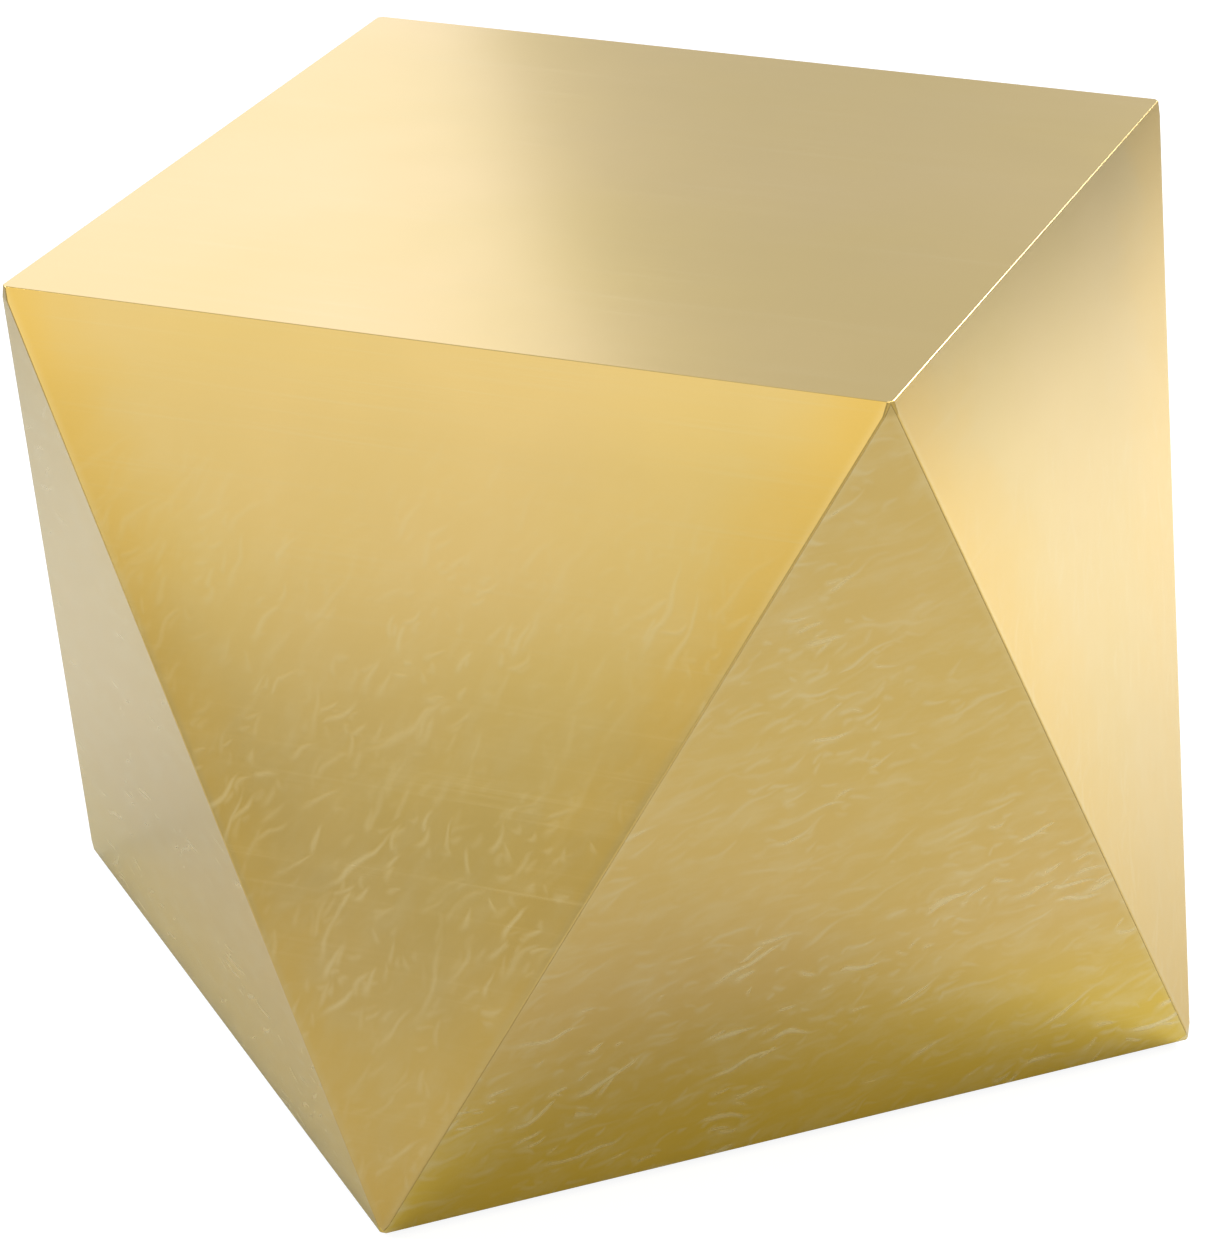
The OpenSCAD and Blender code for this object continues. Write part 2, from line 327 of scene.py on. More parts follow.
class GroupLibrary:
    """Node groups that more than one finish uses, each made once.

    Attributes:
        STROKE_LAYERS: Cell length and spacing, thickness, share of cells and strength of strokes.
    """

    STROKE_LAYERS = (
        (0.075, 0.0210, 0.110, 0.50, 1.0),
        (0.040, 0.0130, 0.190, 0.55, 1.0),
        (0.021, 0.0095, 0.240, 0.60, 0.8),
        (0.011, 0.0075, 0.320, 0.55, 0.6),
    )

    def __init__(self) -> None:
        """Makes every group."""
        self.hairlines = self._hairlines()
        self.strokes = self._strokes()
        self.vein_reflections = self._vein_reflections()
        self.clouding = self._clouding()
        self.scratches = self._scratches()

    @staticmethod
    def _start(
        name: str, inputs: dict[str, tuple[str, object]], outputs: dict[str, str]
    ) -> tuple[Graph, bpy.types.Node, bpy.types.Node]:
        """Makes an empty group with its sockets.

        Args:
            name: The group's name.
            inputs: Socket name to (socket kind, default value).
            outputs: Socket name to socket kind.

        Returns:
            The graph, the input node and the output node.
        """
        tree = bpy.data.node_groups.new(name, "ShaderNodeTree")
        for socket, (kind, default) in inputs.items():
            made = tree.interface.new_socket(
                name=socket, in_out="INPUT", socket_type="NodeSocket" + kind
            )
            if default is not None:
                made.default_value = default
        for socket, kind in outputs.items():
            tree.interface.new_socket(
                name=socket, in_out="OUTPUT", socket_type="NodeSocket" + kind
            )
        graph = Graph(tree)
        return graph, graph.node("NodeGroupInput"), graph.node("NodeGroupOutput")

    def _hairlines(self) -> bpy.types.NodeTree:
        """Makes brushed hairlines that run along X of the pattern.

        Returns:
            A group that puts out a Height and a Mask of the brightest lines.
        """
        graph, start, end = self._start(
            "Hairlines",
            {"Vector": ("Vector", None), "Pitch": ("Float", 1.0)},
            {"Height": "Float", "Mask": "Float"},
        )
        vector = start.outputs["Vector"]
        fine = graph.noise(graph.scaled(vector, (9.0, 1400.0, 1.0)), 1.0, 2.0, 0.6)
        medium = graph.noise(graph.scaled(vector, (5.0, 420.0, 1.0)), 1.0, 3.0, 0.6)
        broad = graph.noise(graph.scaled(vector, (2.2, 95.0, 1.0)), 1.0, 2.0, 0.5)
        lines = graph.mix(0.45, fine, medium)
        height = graph.mix(graph.times(start.outputs["Pitch"], 0.3), lines, broad)
        graph.plug(height, end.inputs["Height"])
        graph.plug(graph.ramp(height, 0.5, 0.72), end.inputs["Mask"])
        return graph.tree

    def _strokes(self) -> bpy.types.NodeTree:
        """Makes one layer of short tapering strokes that run along X, one to a cell.

        Returns:
            A group that puts out a Mask, 1 in the middle of a stroke.
        """
        graph, start, end = self._start(
            "Strokes",
            {
                "Vector": ("Vector", None),
                "Length": ("Float", 0.04),
                "Spacing": ("Float", 0.01),
                "Thickness": ("Float", 0.1),
                "Share": ("Float", 0.6),
            },
            {"Mask": "Float"},
        )
        parts = graph.split(start.outputs["Vector"])
        cell = graph.node("CombineXYZ")
        graph.plug(
            graph.math("DIVIDE", parts.outputs["X"], start.outputs["Length"]), cell.inputs["X"]
        )
        graph.plug(
            graph.math("DIVIDE", parts.outputs["Y"], start.outputs["Spacing"]), cell.inputs["Y"]
        )
        cells = graph.node("TexVoronoi", voronoi_dimensions="2D", feature="F1")
        graph.plug(cell.outputs["Vector"], cells.inputs["Vector"])
        cells.inputs["Scale"].default_value = 1.0
        cells.inputs["Randomness"].default_value = 0.85
        local = graph.node("VectorMath", operation="SUBTRACT")
        graph.plug(cell.outputs["Vector"], local.inputs[0])
        graph.plug(cells.outputs["Position"], local.inputs[1])
        place = graph.split(local.outputs["Vector"])
        chance = graph.node("SeparateColor")
        graph.plug(cells.outputs["Color"], chance.inputs["Color"])
        along = place.outputs["X"]
        lean = graph.math("SUBTRACT", chance.outputs["Red"], 0.5)
        curve = graph.math("SUBTRACT", chance.outputs["Green"], 0.5)
        bend = graph.times(
            graph.times(along, along), graph.times(curve, 4.0)
        )
        offset = graph.plus(graph.times(graph.times(along, lean), 2.6), bend)
        across = graph.math("ABSOLUTE", graph.math("SUBTRACT", place.outputs["Y"], offset))
        taper = graph.inverse(graph.times(along, 1.4))
        width = graph.times(start.outputs["Thickness"], taper)
        line = graph.inverse(graph.ramp(graph.math("DIVIDE", across, width), 0.0, 1.0))
        reach = graph.inverse(graph.ramp(graph.math("ABSOLUTE", along), 0.12, 0.42))
        absent = graph.inverse(start.outputs["Share"])
        present = graph.ramp(chance.outputs["Blue"], absent, graph.plus(absent, 0.4))
        mask = graph.times(graph.times(line, reach), present, clamp=True)
        graph.plug(mask, end.inputs["Mask"])
        return graph.tree

    def _vein_reflections(self) -> bpy.types.NodeTree:
        """Makes pale wisps painted as a reflection of floor veins: slender strokes, long and short,
        and soft haze.

        Returns:
            A group that puts out a Mask of the strokes and a Haze around 0.3.
        """
        graph, start, end = self._start(
            "VeinReflections",
            {"Vector": ("Vector", None), "Angle": ("Float", 0.0)},
            {"Mask": "Float", "Haze": "Float"},
        )
        turn = graph.turned(start.outputs["Vector"], start.outputs["Angle"])
        swirl = graph.node("TexNoise")
        graph.plug(turn, swirl.inputs["Vector"])
        swirl.inputs["Scale"].default_value = 42.0
        swirl.inputs["Detail"].default_value = 1.5
        warp = graph.node("VectorMath", operation="MULTIPLY_ADD")
        graph.plug(swirl.outputs["Color"], warp.inputs[0])
        warp.inputs[1].default_value = (0.016, 0.012, 0.0)
        graph.plug(turn, warp.inputs[2])
        total: object = 0.0
        for number, (length, spacing, thickness, share, strength) in enumerate(self.STROKE_LAYERS):
            moved = graph.node("VectorMath", operation="ADD")
            graph.plug(warp.outputs["Vector"], moved.inputs[0])
            moved.inputs[1].default_value = (0.37 * number, 0.61 * number, 0.0)
            layer = graph.group(
                self.strokes,
                Vector=moved.outputs["Vector"],
                Length=length,
                Spacing=spacing,
                Thickness=thickness,
                Share=share,
            )
            part = graph.times(layer.outputs["Mask"], strength)
            total = graph.math("MAXIMUM", total, part)
        patches = graph.ramp(graph.noise(turn, 13.0, 2.0), 0.36, 0.62)
        total = graph.times(total, graph.mix(patches, 0.35, 1.1))
        haze = graph.noise(graph.scaled(warp.outputs["Vector"], (0.4, 1.0, 1.0)), 75.0, 5.0, 0.62)
        graph.plug(total, end.inputs["Mask"])
        graph.plug(graph.ramp(haze, 0.4, 0.72), end.inputs["Haze"])
        return graph.tree

    def _clouding(self) -> bpy.types.NodeTree:
        """Makes broad, soft changes of tone.

        Returns:
            A group that puts out a Mask around 0.5.
        """
        graph, start, end = self._start(
            "Clouding",
            {"Vector": ("Vector", None), "Scale": ("Float", 6.0)},
            {"Mask": "Float"},
        )
        noise = graph.node("TexNoise")
        graph.plug(start.outputs["Vector"], noise.inputs["Vector"])
        graph.plug(start.outputs["Scale"], noise.inputs["Scale"])
        noise.inputs["Detail"].default_value = 2.0
        graph.plug(graph.ramp(noise.outputs["Fac"], 0.25, 0.75), end.inputs["Mask"])
        return graph.tree

    def _scratches(self) -> bpy.types.NodeTree:
        """Makes thin, straight handling scratches in many directions.

        Returns:
            A group that puts out a Mask.
        """
        graph, start, end = self._start(
            "Scratches",
            {"Vector": ("Vector", None), "Scale": ("Float", 20.0)},
            {"Mask": "Float"},
        )
        total: object = 0.0
        for index, angle in enumerate((0.4, 1.7, 2.6)):
            turn = graph.turned(start.outputs["Vector"], angle)
            place = graph.scaled(turn, (0.08, 1.0, 1.0))
            wave = graph.noise(place, 60.0 + 23.0 * index, 1.0, 0.4, 0.15)
            ridge = graph.math("ABSOLUTE", graph.math("SUBTRACT", wave, 0.5))
            line = graph.inverse(graph.ramp(ridge, 0.0, 0.008))
            patch = graph.noise(turn, start.outputs["Scale"], 1.0)
            part = graph.times(line, graph.ramp(patch, 0.58, 0.68))
            total = graph.math("MAXIMUM", total, part)
        graph.plug(total, end.inputs["Mask"])
        return graph.tree


# ---------------------------------------------------------------------------
# Finishes
# ---------------------------------------------------------------------------


@dataclass(frozen=True)
class Finish:
    """What every finish shares.

    Attributes:
        name: The material's name.
    """

    name: str

    def begin(self) -> tuple[bpy.types.Material, Graph, bpy.types.Node]:
        """Makes an empty material.

        Returns:
            The material, its graph and its Principled shader.
        """
        material = bpy.data.materials.new(self.name)
        material.use_nodes = True
        material.node_tree.nodes.clear()
        graph = Graph(material.node_tree)
        shader = graph.node("BsdfPrincipled")
        output = graph.node("OutputMaterial")
        graph.plug(shader.outputs["BSDF"], output.inputs["Surface"])
        return material, graph, shader

    @staticmethod
    def bump(graph: Graph, height: object, distance: float, strength: float) -> bpy.types.Node:
        """Adds a Bump node.

        Args:
            graph: The material's graph.
            height: The height's socket.
            distance: How deep a height of 1 is, in metres.
            strength: How much of the bump is used.

        Returns:
            The Bump node.
        """
        node = graph.node("Bump")
        graph.plug(height, node.inputs["Height"])
        node.inputs["Distance"].default_value = distance
        node.inputs["Strength"].default_value = strength
        return node


@dataclass(frozen=True)
class GoldSheet(Finish):
    """Gold-toned stainless sheet with a horizontal satin grain, pale strokes painted as a
    reflection of floor veins, a painted warm reflection by the seams, painted shade along the base
    and a painted highlight beside the seams.

    Attributes:
        gold: Colour of the film.
        deep: Its colour where the film is thicker.
        pale: Its pale colour for the hairlines of the grain, the painted reflection of floor veins
            and the painted seam highlight.
        roughness: Roughness between the hairlines.
        anisotropy: How far the grain stretches a reflection across itself.
        lacquer: Weight of the clear satin lacquer over the film.
        seam_reflection_tint: Warm colour painted beside the seams of the hanging sheets as a
            painted reflection.
        base_shade_tint: Deeper colour painted along the base of the standing sheets as painted
            shade.
        seam_tint_width: Width of the band of painted reflection beside a seam, in metres.
        seam_highlight_width: Width of the painted highlight band beside a seam, in metres.
        crown_width: How far from its edges a side sheet starts to fall away, in metres.
        crown_drop: How far it has fallen at its edges, in metres.
    """

    gold: tuple[float, float, float] = (0.87, 0.63, 0.25)
    deep: tuple[float, float, float] = (0.84, 0.61, 0.20)
    pale: tuple[float, float, float] = (0.97, 0.86, 0.58)
    roughness: float = 0.2
    anisotropy: float = 0.5
    lacquer: float = 0.7
    seam_reflection_tint: tuple[float, float, float] = (0.9, 0.6, 0.14)
    base_shade_tint: tuple[float, float, float] = (0.9, 0.66, 0.1)
    seam_tint_width: float = 0.05
    seam_highlight_width: float = 0.0045
    crown_width: float = 0.045
    crown_drop: float = 0.0005

    def make(self, groups: GroupLibrary) -> bpy.types.Material:
        """Builds the material.

        Args:
            groups: The shared node groups.

        Returns:
            The material.
        """
        material, graph, shader = self.begin()
        flat = graph.node("UVMap", uv_map=GRAIN_MAP).outputs["UV"]
        marks = {
            mark: graph.node("Attribute", attribute_name=mark.value).outputs["Fac"] for mark in Mark
        }
        hairlines = graph.group(groups.hairlines, Vector=flat)
        # Pale strokes and haze painted as a reflection of floor veins.
        strokes = graph.group(groups.vein_reflections, Vector=flat, Angle=marks[Mark.STROKE_ANGLE])
        clouds = graph.group(groups.clouding, Vector=flat, Scale=5.0).outputs["Mask"]
        smudges = graph.group(groups.clouding, Vector=flat, Scale=21.0).outputs["Mask"]
        height_up = graph.split(flat)
        # The painted vein reflection sits low on the hanging sheets and is weaker higher up.
        low_down = graph.inverse(graph.ramp(height_up.outputs["Y"], 0.22, 0.36))
        faded = graph.mix(marks[Mark.FADE], 1.0, low_down)
        upper = graph.ramp(height_up.outputs["Y"], 0.06, 0.3)
        faded = graph.times(faded, graph.mix(upper, 1.0, 0.65))
        vein_share = graph.times(marks[Mark.BUFFING], faded)
        stroke = graph.times(strokes.outputs["Mask"], vein_share)
        haze = graph.times(strokes.outputs["Haze"], vein_share)
        from_seam = graph.math("MINIMUM", marks[Mark.FROM_LEFT], marks[Mark.FROM_RIGHT])
        # Pale band painted beside each seam as a highlight, with a little less roughness there.
        rim = graph.inverse(graph.ramp(from_seam, 0.0, self.seam_highlight_width))

        colour = graph.tint(clouds, self.gold, self.deep)
        spread = marks[Mark.CROWN]
        # Warm tint painted beside the seams of the hanging sheets, stronger higher up: a painted
        # reflection.
        uneven = graph.mix(smudges, self.seam_tint_width * 0.7, self.seam_tint_width * 1.3)
        uneven = graph.times(uneven, spread)
        beside_seam = graph.inverse(graph.ramp(from_seam, 0.0, uneven))
        high_up = graph.mix(graph.ramp(height_up.outputs["Y"], 0.05, 0.36), 0.45, 1.0)
        painted_seam_reflection = graph.times(beside_seam, marks[Mark.FADE])
        painted_seam_reflection = graph.times(painted_seam_reflection, high_up)
        # Deeper colour painted along the base of the standing sheets: painted shade.
        near_base = graph.inverse(graph.ramp(marks[Mark.FROM_LEVEL], 0.0, 0.13))
        painted_base_shade = graph.math("SUBTRACT", near_base, marks[Mark.FADE], clamp=True)
        colour = graph.tint(painted_seam_reflection, colour, self.seam_reflection_tint)
        colour = graph.tint(painted_base_shade, colour, self.base_shade_tint)
        # Pale for the hairlines of the grain, for the painted vein reflection and haze, and for the
        # painted seam highlight.
        for mask, amount in (
            (hairlines.outputs["Mask"], 0.14),
            (haze, 0.26),
            (stroke, 0.65),
            (rim, 0.14),
        ):
            share = graph.times(mask, amount, clamp=True)
            colour = graph.tint(share, colour, self.pale)
        graph.plug(colour, shader.inputs["Base Color"])

        rough: object = self.roughness
        for mask, amount in (
            (smudges, 0.02),
            (hairlines.outputs["Mask"], 0.04),
            (stroke, 0.10),
            (rim, -0.03),
        ):
            rough = graph.plus(rough, graph.times(mask, amount))
        graph.plug(rough, shader.inputs["Roughness"])

        sag: object = 0.0
        for mark in (Mark.FROM_LEFT, Mark.FROM_RIGHT, Mark.FROM_LEVEL):
            width = graph.times(spread, self.crown_width)
            near = graph.inverse(graph.math("DIVIDE", marks[mark], width))
            drop = graph.math("POWER", graph.math("MAXIMUM", near, 0.0), 2.0)
            drop = graph.times(drop, graph.times(spread, spread))
            sag = graph.math("SUBTRACT", sag, drop)
        crown = self.bump(graph, sag, self.crown_drop, 1.0)
        waves = graph.noise(flat, 3.6, 1.0, 0.4)
        waviness = self.bump(graph, waves, 0.0012, 0.5)
        graph.plug(crown.outputs["Normal"], waviness.inputs["Normal"])
        grain = self.bump(graph, hairlines.outputs["Height"], 0.00002, 0.35)
        graph.plug(waviness.outputs["Normal"], grain.inputs["Normal"])
        relief = graph.plus(stroke, graph.times(haze, 0.6))
        marked = self.bump(graph, relief, 0.00006, 0.45)
        graph.plug(grain.outputs["Normal"], marked.inputs["Normal"])
        graph.plug(marked.outputs["Normal"], shader.inputs["Normal"])

        tangent = graph.node("Tangent", direction_type="UV_MAP", uv_map=GRAIN_MAP)
        graph.plug(tangent.outputs["Tangent"], shader.inputs["Tangent"])
        shader.inputs["Metallic"].default_value = 1.0
        shader.inputs["Anisotropic"].default_value = self.anisotropy
        shader.inputs["Anisotropic Rotation"].default_value = 0.25
        shader.inputs["Coat Weight"].default_value = self.lacquer
        shader.inputs["Coat Roughness"].default_value = 0.18
        return material


@dataclass(frozen=True)
class BareMetal(Finish):
    """Mill-finish or plated steel that is worn by handling.

    Attributes:
        colour: Colour of the metal.
        stain: Colour of its darker patches.
        roughness: Roughness of the clean metal.
        grain: Depth of the surface's grain, in metres.
    """

    colour: tuple[float, float, float] = (0.42, 0.43, 0.44)
    stain: tuple[float, float, float] = (0.26, 0.25, 0.24)
    roughness: float = 0.38
    grain: float = 0.00003

    def make(self, groups: GroupLibrary) -> bpy.types.Material:
        """Builds the material.

        Args:
            groups: The shared node groups.

        Returns:
            The material.
        """
        material, graph, shader = self.begin()
        place = graph.node("TexCoord").outputs["Object"]
        clouds = graph.group(groups.clouding, Vector=place, Scale=34.0).outputs["Mask"]
        scratches = graph.group(groups.scratches, Vector=place, Scale=30.0).outputs["Mask"]
        speckle = graph.noise(place, 2600.0, 2.0, 0.6)
        colour = graph.tint(
            graph.times(clouds, 0.7), self.colour, self.stain
        )
        colour = graph.tint(graph.times(scratches, 0.4), colour, (0.75, 0.76, 0.78, 1.0))
        graph.plug(colour, shader.inputs["Base Color"])
        rough = graph.plus(self.roughness, graph.times(clouds, 0.14))
        rough = graph.plus(rough, graph.times(speckle, 0.08))
        graph.plug(rough, shader.inputs["Roughness"])
        grain = self.bump(graph, speckle, self.grain, 0.5)
        graph.plug(grain.outputs["Normal"], shader.inputs["Normal"])
        shader.inputs["Metallic"].default_value = 1.0
        return material


@dataclass(frozen=True)
class PowderCoat(Finish):
    """Black powder coat with its orange-peel texture.

    Attributes:
        colour: Colour of the coat.
        dust: Colour of the dust on it.
    """

    colour: tuple[float, float, float] = (0.022, 0.022, 0.024)
    dust: tuple[float, float, float] = (0.13, 0.12, 0.11)

    def make(self, groups: GroupLibrary) -> bpy.types.Material:
        """Builds the material.

        Args:
            groups: The shared node groups.

        Returns:
            The material.
        """
        material, graph, shader = self.begin()
        place = graph.node("TexCoord").outputs["Object"]
        clouds = graph.group(groups.clouding, Vector=place, Scale=12.0).outputs["Mask"]
        scratches = graph.group(groups.scratches, Vector=place, Scale=18.0).outputs["Mask"]
        peel = graph.noise(place, 900.0, 2.0, 0.5)
        colour = graph.tint(
            graph.times(clouds, 0.16), self.colour, self.dust
        )
        colour = graph.tint(graph.times(scratches, 0.5), colour, self.dust)
        graph.plug(colour, shader.inputs["Base Color"])
        rough = graph.plus(0.46, graph.times(clouds, 0.14))
        graph.plug(rough, shader.inputs["Roughness"])
        bumps = self.bump(graph, peel, 0.00012, 0.6)
        graph.plug(bumps.outputs["Normal"], shader.inputs["Normal"])
        return material


@dataclass(frozen=True)
class MouldedNylon(Finish):
    """Black moulded nylon, scuffed where it slides on the floor.

    Attributes:
        colour: Colour of the nylon.
        scuff: Colour of the scuffs.
    """

    colour: tuple[float, float, float] = (0.018, 0.018, 0.019)
    scuff: tuple[float, float, float] = (0.16, 0.155, 0.15)

    def make(self, groups: GroupLibrary) -> bpy.types.Material:
        """Builds the material.

        Args:
            groups: The shared node groups.

        Returns:
            The material.
        """
        material, graph, shader = self.begin()
        place = graph.node("TexCoord").outputs["Object"]
        clouds = graph.group(groups.clouding, Vector=place, Scale=120.0).outputs["Mask"]
        scratches = graph.group(groups.scratches, Vector=place, Scale=90.0).outputs["Mask"]
        level = graph.split(place)
        near_floor = graph.inverse(graph.ramp(level.outputs["Z"], 0.0, 0.0012))
        worn = graph.math(
            "MAXIMUM", graph.times(near_floor, 0.6), graph.times(scratches, 0.4)
        )
        colour = graph.tint(worn, self.colour, self.scuff)
        graph.plug(colour, shader.inputs["Base Color"])
        rough = graph.plus(0.42, graph.times(clouds, 0.16))
        graph.plug(rough, shader.inputs["Roughness"])
        spark = graph.noise(place, 3200.0, 2.0, 0.6)
        bumps = self.bump(graph, spark, 0.00005, 0.5)
        graph.plug(bumps.outputs["Normal"], shader.inputs["Normal"])
        return material


@dataclass(frozen=True)
class Plywood(Finish):
    """Raw birch plywood: long-grained faces, and plies that show on its edges.

    Attributes:
        light: Colour of the early wood.
        dark: Colour of the late wood.
        ply: Thickness of each ply, in metres.
    """

    light: tuple[float, float, float] = (0.66, 0.49, 0.31)
    dark: tuple[float, float, float] = (0.42, 0.27, 0.15)
    ply: float = 0.0015

    def make(self, groups: GroupLibrary) -> bpy.types.Material:
        """Builds the material.

        Args:
            groups: The shared node groups.

        Returns:
            The material.
        """
        material, graph, shader = self.begin()
        place = graph.node("TexCoord").outputs["Object"]
        clouds = graph.group(groups.clouding, Vector=place, Scale=9.0).outputs["Mask"]
        rings = graph.noise(graph.scaled(place, (4.0, 60.0, 1.0)), 1.0, 4.0, 0.6, 0.8)
        pores = graph.noise(graph.scaled(place, (40.0, 1400.0, 1.0)), 1.0, 2.0, 0.6)
        grain = graph.times(graph.ramp(rings, 0.35, 0.7), 0.55)
        colour = graph.tint(grain, self.light, self.dark)
        level = graph.split(place)
        plies = graph.math("PINGPONG", level.outputs["Z"], self.ply)
        end_grain = graph.ramp(plies, self.ply * 0.35, self.ply * 0.65)
        facing = graph.split(graph.node("NewGeometry").outputs["Normal"])
        on_edge = graph.math("LESS_THAN", graph.math("ABSOLUTE", facing.outputs["Z"]), 0.5)
        banding = graph.times(graph.times(end_grain, on_edge), 0.7)
        colour = graph.tint(banding, colour, self.dark)
        colour = graph.tint(graph.times(clouds, 0.2), colour, self.dark)
        graph.plug(colour, shader.inputs["Base Color"])
        rough = graph.plus(0.62, graph.times(pores, 0.2))
        graph.plug(rough, shader.inputs["Roughness"])
        bumps = self.bump(graph, graph.mix(0.5, rings, pores), 0.0002, 0.4)
        graph.plug(bumps.outputs["Normal"], shader.inputs["Normal"])
        return material


# ---------------------------------------------------------------------------
# Mesh helpers
# ---------------------------------------------------------------------------


@dataclass(frozen=True)
class Face:
    """A plane that bounds the body.

    Attributes:
        normal: Its outward unit normal.
        distance: Its distance from the origin along the normal.
    """

    normal: Vector
    distance: float

    def shifted(self, by: float) -> "Face":
        """Gives the same plane moved outwards by a distance."""
        return Face(self.normal, self.distance + by)

    def flipped(self) -> "Face":
        """Gives the same plane facing the other way."""
        return Face(-self.normal, -self.distance)

    def height(self, point: Vector) -> float:
        """Gives how far a point is in front of the plane."""
        return self.normal.dot(point) - self.distance


def direction(angle: float, tilt: float = 0.0) -> Vector:
    """Gives a unit vector.

    Args:
        angle: Its compass angle from +X towards +Y, in degrees.
        tilt: Its angle above the floor, in radians.

    Returns:
        The vector.
    """
    turn = math.radians(angle)
    return Vector(
        (math.cos(tilt) * math.cos(turn), math.cos(tilt) * math.sin(turn), math.sin(tilt))
    )


def trim(bm: bmesh.types.BMesh, face: Face) -> None:
    """Cuts away what is in front of a plane and closes the cut.

    Args:
        bm: The closed convex mesh.
        face: The plane.
    """
    cut = bmesh.ops.bisect_plane(
        bm,
        geom=bm.verts[:] + bm.edges[:] + bm.faces[:],
        dist=ONE_POINT,
        plane_co=face.normal * face.distance,
        plane_no=face.normal,
        clear_outer=True,
    )
    rim = [part for part in cut["geom_cut"] if isinstance(part, bmesh.types.BMEdge)]
    if rim:
        bmesh.ops.edgeloop_fill(bm, edges=rim)


def linked(name: str, data: bpy.types.ID) -> bpy.types.Object:
    """Puts new data into the scene as an object.

    Args:
        name: The object's name.
        data: Its mesh, light or camera.

    Returns:
        The object.
    """
    holder = bpy.data.objects.new(name, data)
    bpy.context.scene.collection.objects.link(holder)
    return holder


def rounded(
    bm: bmesh.types.BMesh, edges: list, offset: float, steps: int, clamp: bool = False
) -> None:
    """Rounds some edges of a mesh.

    Args:
        bm: The mesh.
        edges: The edges.
        offset: How far the rounding reaches along each face.
        steps: Facets across it.
        clamp: Whether neighbouring roundings may not overlap.
    """
    bmesh.ops.bevel(
        bm,
        geom=edges,
        offset=offset,
        offset_type="OFFSET",
        affect="EDGES",
        segments=steps,
        profile=0.5,
        clamp_overlap=clamp,
        material=-1,
    )


def to_object(
    bm: bmesh.types.BMesh, name: str, body: str, material: bpy.types.Material
) -> bpy.types.Object:
    """Makes a scene object of a finished mesh.

    Args:
        bm: The mesh, which is freed.
        name: The piece's name.
        body: The rigid body that it rides on.
        material: Its finish.

    Returns:
        The object.
    """
    bmesh.ops.recalc_face_normals(bm, faces=bm.faces[:])
    mesh = bpy.data.meshes.new(name)
    bm.to_mesh(mesh)
    bm.free()
    mesh.materials.append(material)
    piece = linked(name, mesh)
    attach(piece, body)
    LOG.info("%s: %d faces", name, len(mesh.polygons))
    return piece


# ---------------------------------------------------------------------------
# Sub-assemblies
# ---------------------------------------------------------------------------


